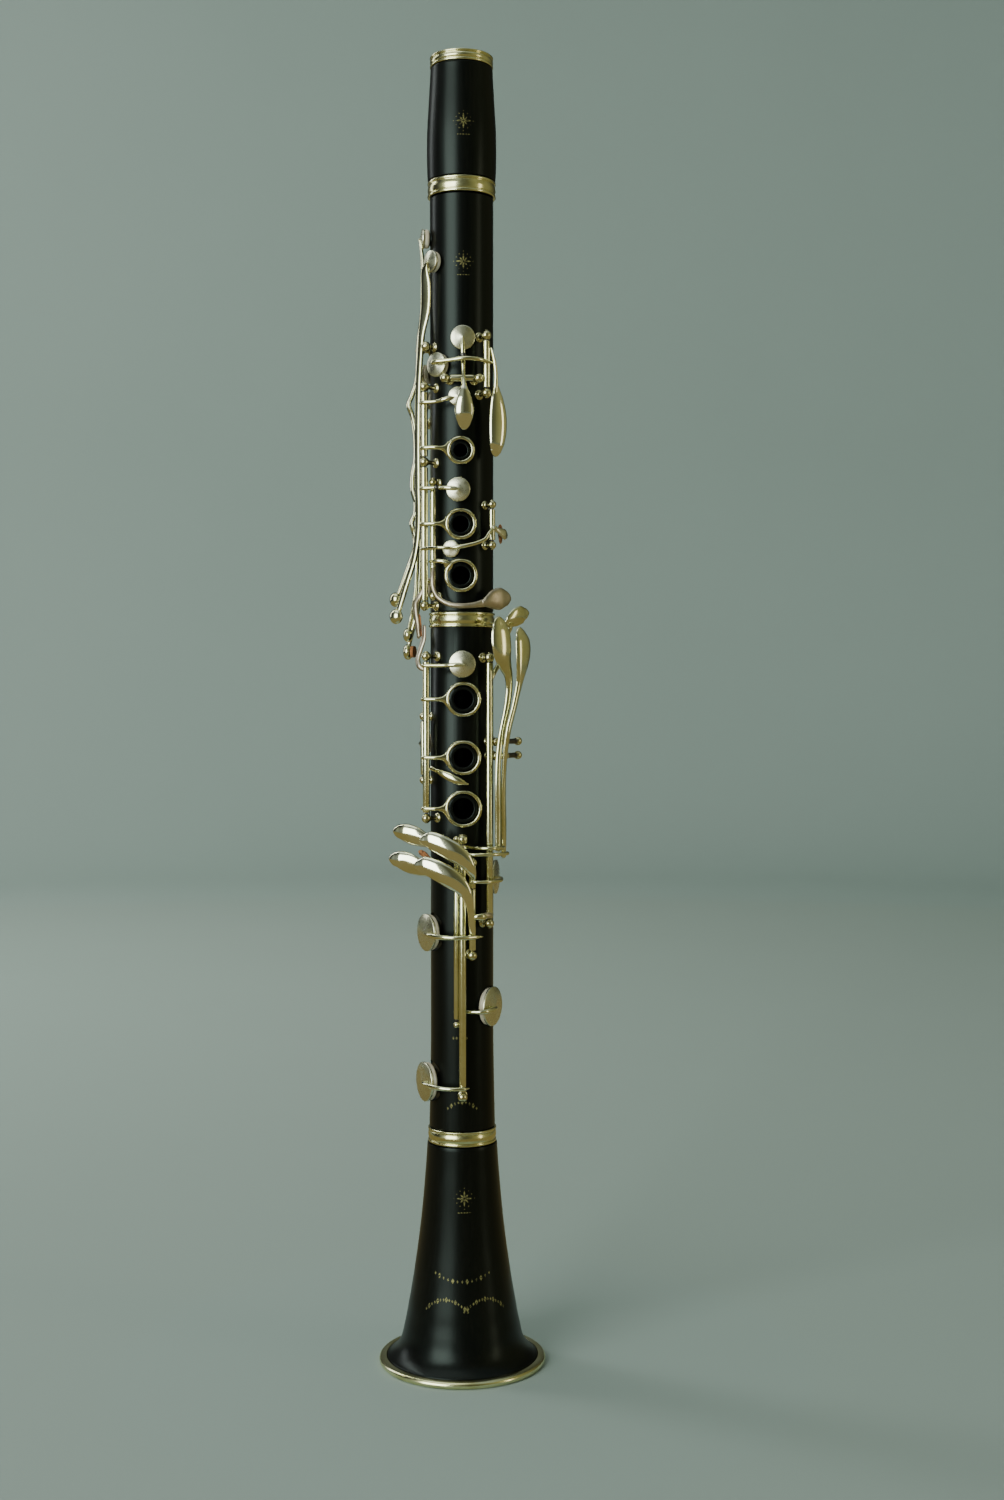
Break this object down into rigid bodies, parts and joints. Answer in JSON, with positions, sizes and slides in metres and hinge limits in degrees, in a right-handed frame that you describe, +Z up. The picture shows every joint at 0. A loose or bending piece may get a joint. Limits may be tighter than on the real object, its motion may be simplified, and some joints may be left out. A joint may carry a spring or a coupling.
{
  "type": "clarinet",
  "caption": "Wooden single-reed woodwind body with flared bell, two joints, barrel and plated ring-and-lever keywork on ball posts; the mouthpiece is not fitted.",
  "frame": {"origin": "centre of the bell rim's bottom plane, on the bore axis", "axes": "+Z up the bore from bell to barrel, -Y the front with the finger rings, +X to the viewer's right when facing the front"},
  "size_m": [0.0768, 0.0768, 0.5929],
  "materials": {
    "wood": "oiled near-black hardwood with faint grain",
    "keys": "polished plated nickel silver, slightly warm",
    "posts": "polished plated posts and pivot rods",
    "rings": "polished plated socket and rim rings",
    "cork": "natural cork",
    "pad": "pale skin over felt, matt"
  },
  "bodies": {
    "body": {"bell_body": "wood", "bell_socket_ring": "rings", "bell_rim_ring": "rings", "lower_joint_body": "wood", "middle_socket_ring": "rings", "lower_tenon_cork": "cork", "upper_joint_body": "wood", "middle_tenon_cork": "cork", "top_tenon_cork": "cork", "thumb_rest": "keys", "thumb_tube": "keys", "register_tube": "keys", "a_key_hinge": "posts", "g_sharp_hinge": "posts", "upper_ring_hinge": "posts", "lh3_hinge": "posts", "e_flat_sliver_hinge": "posts", "register_hinge": "posts", "thumb_ring_hinge": "posts", "trill_hinge": "posts", "side_key_hinge": "posts", "lower_ring_hinge": "posts", "b_sliver_hinge": "posts", "f_sharp_lever_hinge": "posts", "e_b_lever_hinge": "posts", "lh_f_c_hinge": "posts", "e_b_f_sharp_hinge": "posts", "f_c_hinge": "posts"},
    "barrel": {"barrel_body": "wood", "barrel_top_ring": "rings", "barrel_bottom_ring": "rings"},
    "a_key": {"a_key": "keys", "a_pad": "pad"},
    "g_sharp_key": {"g_sharp_key": "keys", "g_sharp_pad": "pad"},
    "lh1_ring_key": {"lh1_ring_key": "keys"},
    "lh2_ring_key": {"lh2_ring_key": "keys"},
    "lh3_ring_key": {"lh3_ring_key": "keys"},
    "c_sharp_key": {"c_sharp_key": "keys"},
    "e_flat_sliver_key": {"e_flat_sliver_key": "keys"},
    "register_key": {"register_key": "keys"},
    "thumb_ring_key": {"thumb_ring_key": "keys"},
    "trill_key_1": {"trill_key_1": "keys"},
    "trill_key_2": {"trill_key_2": "keys"},
    "side_key_3": {"side_key_3": "keys"},
    "side_key_4": {"side_key_4": "keys"},
    "rh_ring_key": {"rh_ring_key": "keys", "rh_ring_pad": "pad"},
    "b_sliver_key": {"b_sliver_key": "keys"},
    "rh_e_b_key": {"rh_e_b_key": "keys", "e_b_pad": "pad"},
    "rh_f_sharp_key": {"rh_f_sharp_key": "keys", "f_sharp_pad": "pad"},
    "rh_f_c_key": {"rh_f_c_key": "keys", "f_c_pad": "pad"},
    "rh_a_flat_key": {"rh_a_flat_key": "keys", "a_flat_pad": "pad"},
    "lh_e_b_lever": {"lh_e_b_lever": "keys"},
    "lh_f_sharp_lever": {"lh_f_sharp_lever": "keys"},
    "lh_f_c_lever": {"lh_f_c_lever": "keys"}
  },
  "joints": [
    {"name": "barrel_slide", "type": "slide", "parent": "body", "child": "barrel", "axis": [0, 0, 1], "range_m": [0, 0.003]},
    {"name": "a_key_pivot", "type": "hinge", "parent": "body", "child": "a_key", "pos_m": [0, -0.019, 0.4465], "axis": [1, 0, 0], "range_deg": [0, 7], "stiffness_Nm_per_rad": 0.03, "springref_deg": -22.92},
    {"name": "g_sharp_key_pivot", "type": "hinge", "parent": "body", "child": "g_sharp_key", "pos_m": [0.01099, -0.01719, 0.452], "axis": [0, 0, 1], "range_deg": [0, 7], "stiffness_Nm_per_rad": 0.03, "springref_deg": -22.92},
    {"name": "lh1_ring_key_pivot", "type": "hinge", "parent": "body", "child": "lh1_ring_key", "pos_m": [-0.01671, -0.01273, 0.427], "axis": [0, 0, 1], "range_deg": [0, 4.5], "stiffness_Nm_per_rad": 0.03, "springref_deg": -22.92},
    {"name": "lh2_ring_key_pivot", "type": "hinge", "parent": "body", "child": "lh2_ring_key", "pos_m": [-0.01671, -0.01273, 0.378], "axis": [0, 0, 1], "range_deg": [0, 4.5], "stiffness_Nm_per_rad": 0.03, "springref_deg": -22.92},
    {"name": "lh3_ring_key_pivot", "type": "hinge", "parent": "body", "child": "lh3_ring_key", "pos_m": [-0.01277, -0.01255, 0.38], "axis": [0, 0, 1], "range_deg": [0, 4], "stiffness_Nm_per_rad": 0.03, "springref_deg": -22.92},
    {"name": "c_sharp_key_pivot", "type": "hinge", "parent": "body", "child": "c_sharp_key", "pos_m": [-0.01277, -0.01255, 0.358], "axis": [0, 0, 1], "range_deg": [0, 8], "stiffness_Nm_per_rad": 0.03, "springref_deg": -22.92},
    {"name": "e_flat_sliver_key_pivot", "type": "hinge", "parent": "body", "child": "e_flat_sliver_key", "pos_m": [0.01348, -0.01325, 0.382], "axis": [0, 0, 1], "range_deg": [0, 5], "stiffness_Nm_per_rad": 0.03, "springref_deg": -22.92},
    {"name": "register_key_pivot", "type": "hinge", "parent": "body", "child": "register_key", "pos_m": [0, 0.0184, 0.457], "axis": [-1, 0, 0], "range_deg": [0, 7], "stiffness_Nm_per_rad": 0.03, "springref_deg": -22.92},
    {"name": "thumb_ring_key_pivot", "type": "hinge", "parent": "body", "child": "thumb_ring_key", "pos_m": [-0.01139, 0.01458, 0.419], "axis": [0, 0, -1], "range_deg": [0, 4], "stiffness_Nm_per_rad": 0.03, "springref_deg": -22.92},
    {"name": "trill_key_1_hinge", "type": "hinge", "parent": "body", "child": "trill_key_1", "pos_m": [-0.01737, -0.00433, 0.462], "axis": [0.2419, -0.9703, 0], "range_deg": [0, 2.4], "stiffness_Nm_per_rad": 0.05, "springref_deg": -22.92},
    {"name": "trill_key_2_hinge", "type": "hinge", "parent": "body", "child": "trill_key_2", "pos_m": [-0.01737, -0.00433, 0.462], "axis": [0.2419, -0.9703, 0], "range_deg": [0, 2.4], "stiffness_Nm_per_rad": 0.05, "springref_deg": -22.92},
    {"name": "side_key_3_hinge", "type": "hinge", "parent": "body", "child": "side_key_3", "pos_m": [-0.01671, 0.00641, 0.43], "axis": [-0.3584, -0.9336, 0], "range_deg": [0, 3], "stiffness_Nm_per_rad": 0.05, "springref_deg": -22.92},
    {"name": "side_key_4_hinge", "type": "hinge", "parent": "body", "child": "side_key_4", "pos_m": [-0.01671, 0.00641, 0.43], "axis": [-0.3584, -0.9336, 0], "range_deg": [0, 3], "stiffness_Nm_per_rad": 0.05, "springref_deg": -22.92},
    {"name": "rh_ring_key_pivot", "type": "hinge", "parent": "body", "child": "rh_ring_key", "pos_m": [-0.01599, -0.01361, 0.287], "axis": [0, 0, 1], "range_deg": [0, 4.5], "stiffness_Nm_per_rad": 0.03, "springref_deg": -22.92},
    {"name": "b_sliver_key_pivot", "type": "hinge", "parent": "body", "child": "b_sliver_key", "pos_m": [-0.01739, -0.00466, 0.282], "axis": [0, 0, 1], "range_deg": [0, 6], "stiffness_Nm_per_rad": 0.03, "springref_deg": -22.92},
    {"name": "rh_e_b_key_pivot", "type": "hinge", "parent": "body", "child": "rh_e_b_key", "pos_m": [0.0002, -0.0195, 0.184], "axis": [0, 0, -1], "range_deg": [0, 7.5], "stiffness_Nm_per_rad": 0.03, "springref_deg": -22.92},
    {"name": "rh_f_sharp_key_pivot", "type": "hinge", "parent": "body", "child": "rh_f_sharp_key", "pos_m": [-0.0024, -0.01643, 0.2], "axis": [0, 0, -1], "range_deg": [0, 8], "stiffness_Nm_per_rad": 0.03, "springref_deg": -22.92},
    {"name": "rh_f_c_key_pivot", "type": "hinge", "parent": "body", "child": "rh_f_c_key", "pos_m": [0.00452, -0.01897, 0.206], "axis": [0, 0, -1], "range_deg": [0, 7.5], "stiffness_Nm_per_rad": 0.03, "springref_deg": -22.92},
    {"name": "rh_a_flat_key_pivot", "type": "hinge", "parent": "body", "child": "rh_a_flat_key", "pos_m": [0.00452, -0.01897, 0.224], "axis": [0, 0, -1], "range_deg": [0, 9], "stiffness_Nm_per_rad": 0.03, "springref_deg": -22.92},
    {"name": "lh_e_b_lever_pivot", "type": "hinge", "parent": "body", "child": "lh_e_b_lever", "pos_m": [0.01492, -0.01208, 0.2787], "axis": [-0.6293, -0.7771, 0], "range_deg": [0, 2.45], "stiffness_Nm_per_rad": 0.01, "springref_deg": -17.19},
    {"name": "lh_f_sharp_lever_pivot", "type": "hinge", "parent": "body", "child": "lh_f_sharp_lever", "pos_m": [0.01492, -0.01208, 0.2851], "axis": [-0.6293, -0.7771, 0], "range_deg": [0, 1.87], "stiffness_Nm_per_rad": 0.01, "springref_deg": -17.19},
    {"name": "lh_f_c_lever_pivot", "type": "hinge", "parent": "body", "child": "lh_f_c_lever", "pos_m": [0.01221, -0.01456, 0.262], "axis": [0, 0, 1], "range_deg": [0, 6.22], "stiffness_Nm_per_rad": 0.01, "springref_deg": -17.19}
  ],
  "couplings": [
    {"joint": "lh_e_b_lever_pivot", "follows": "rh_e_b_key_pivot", "ratio": 0.327},
    {"joint": "lh_f_sharp_lever_pivot", "follows": "rh_f_sharp_key_pivot", "ratio": 0.234},
    {"joint": "lh_f_c_lever_pivot", "follows": "rh_f_c_key_pivot", "ratio": 0.83}
  ]
}
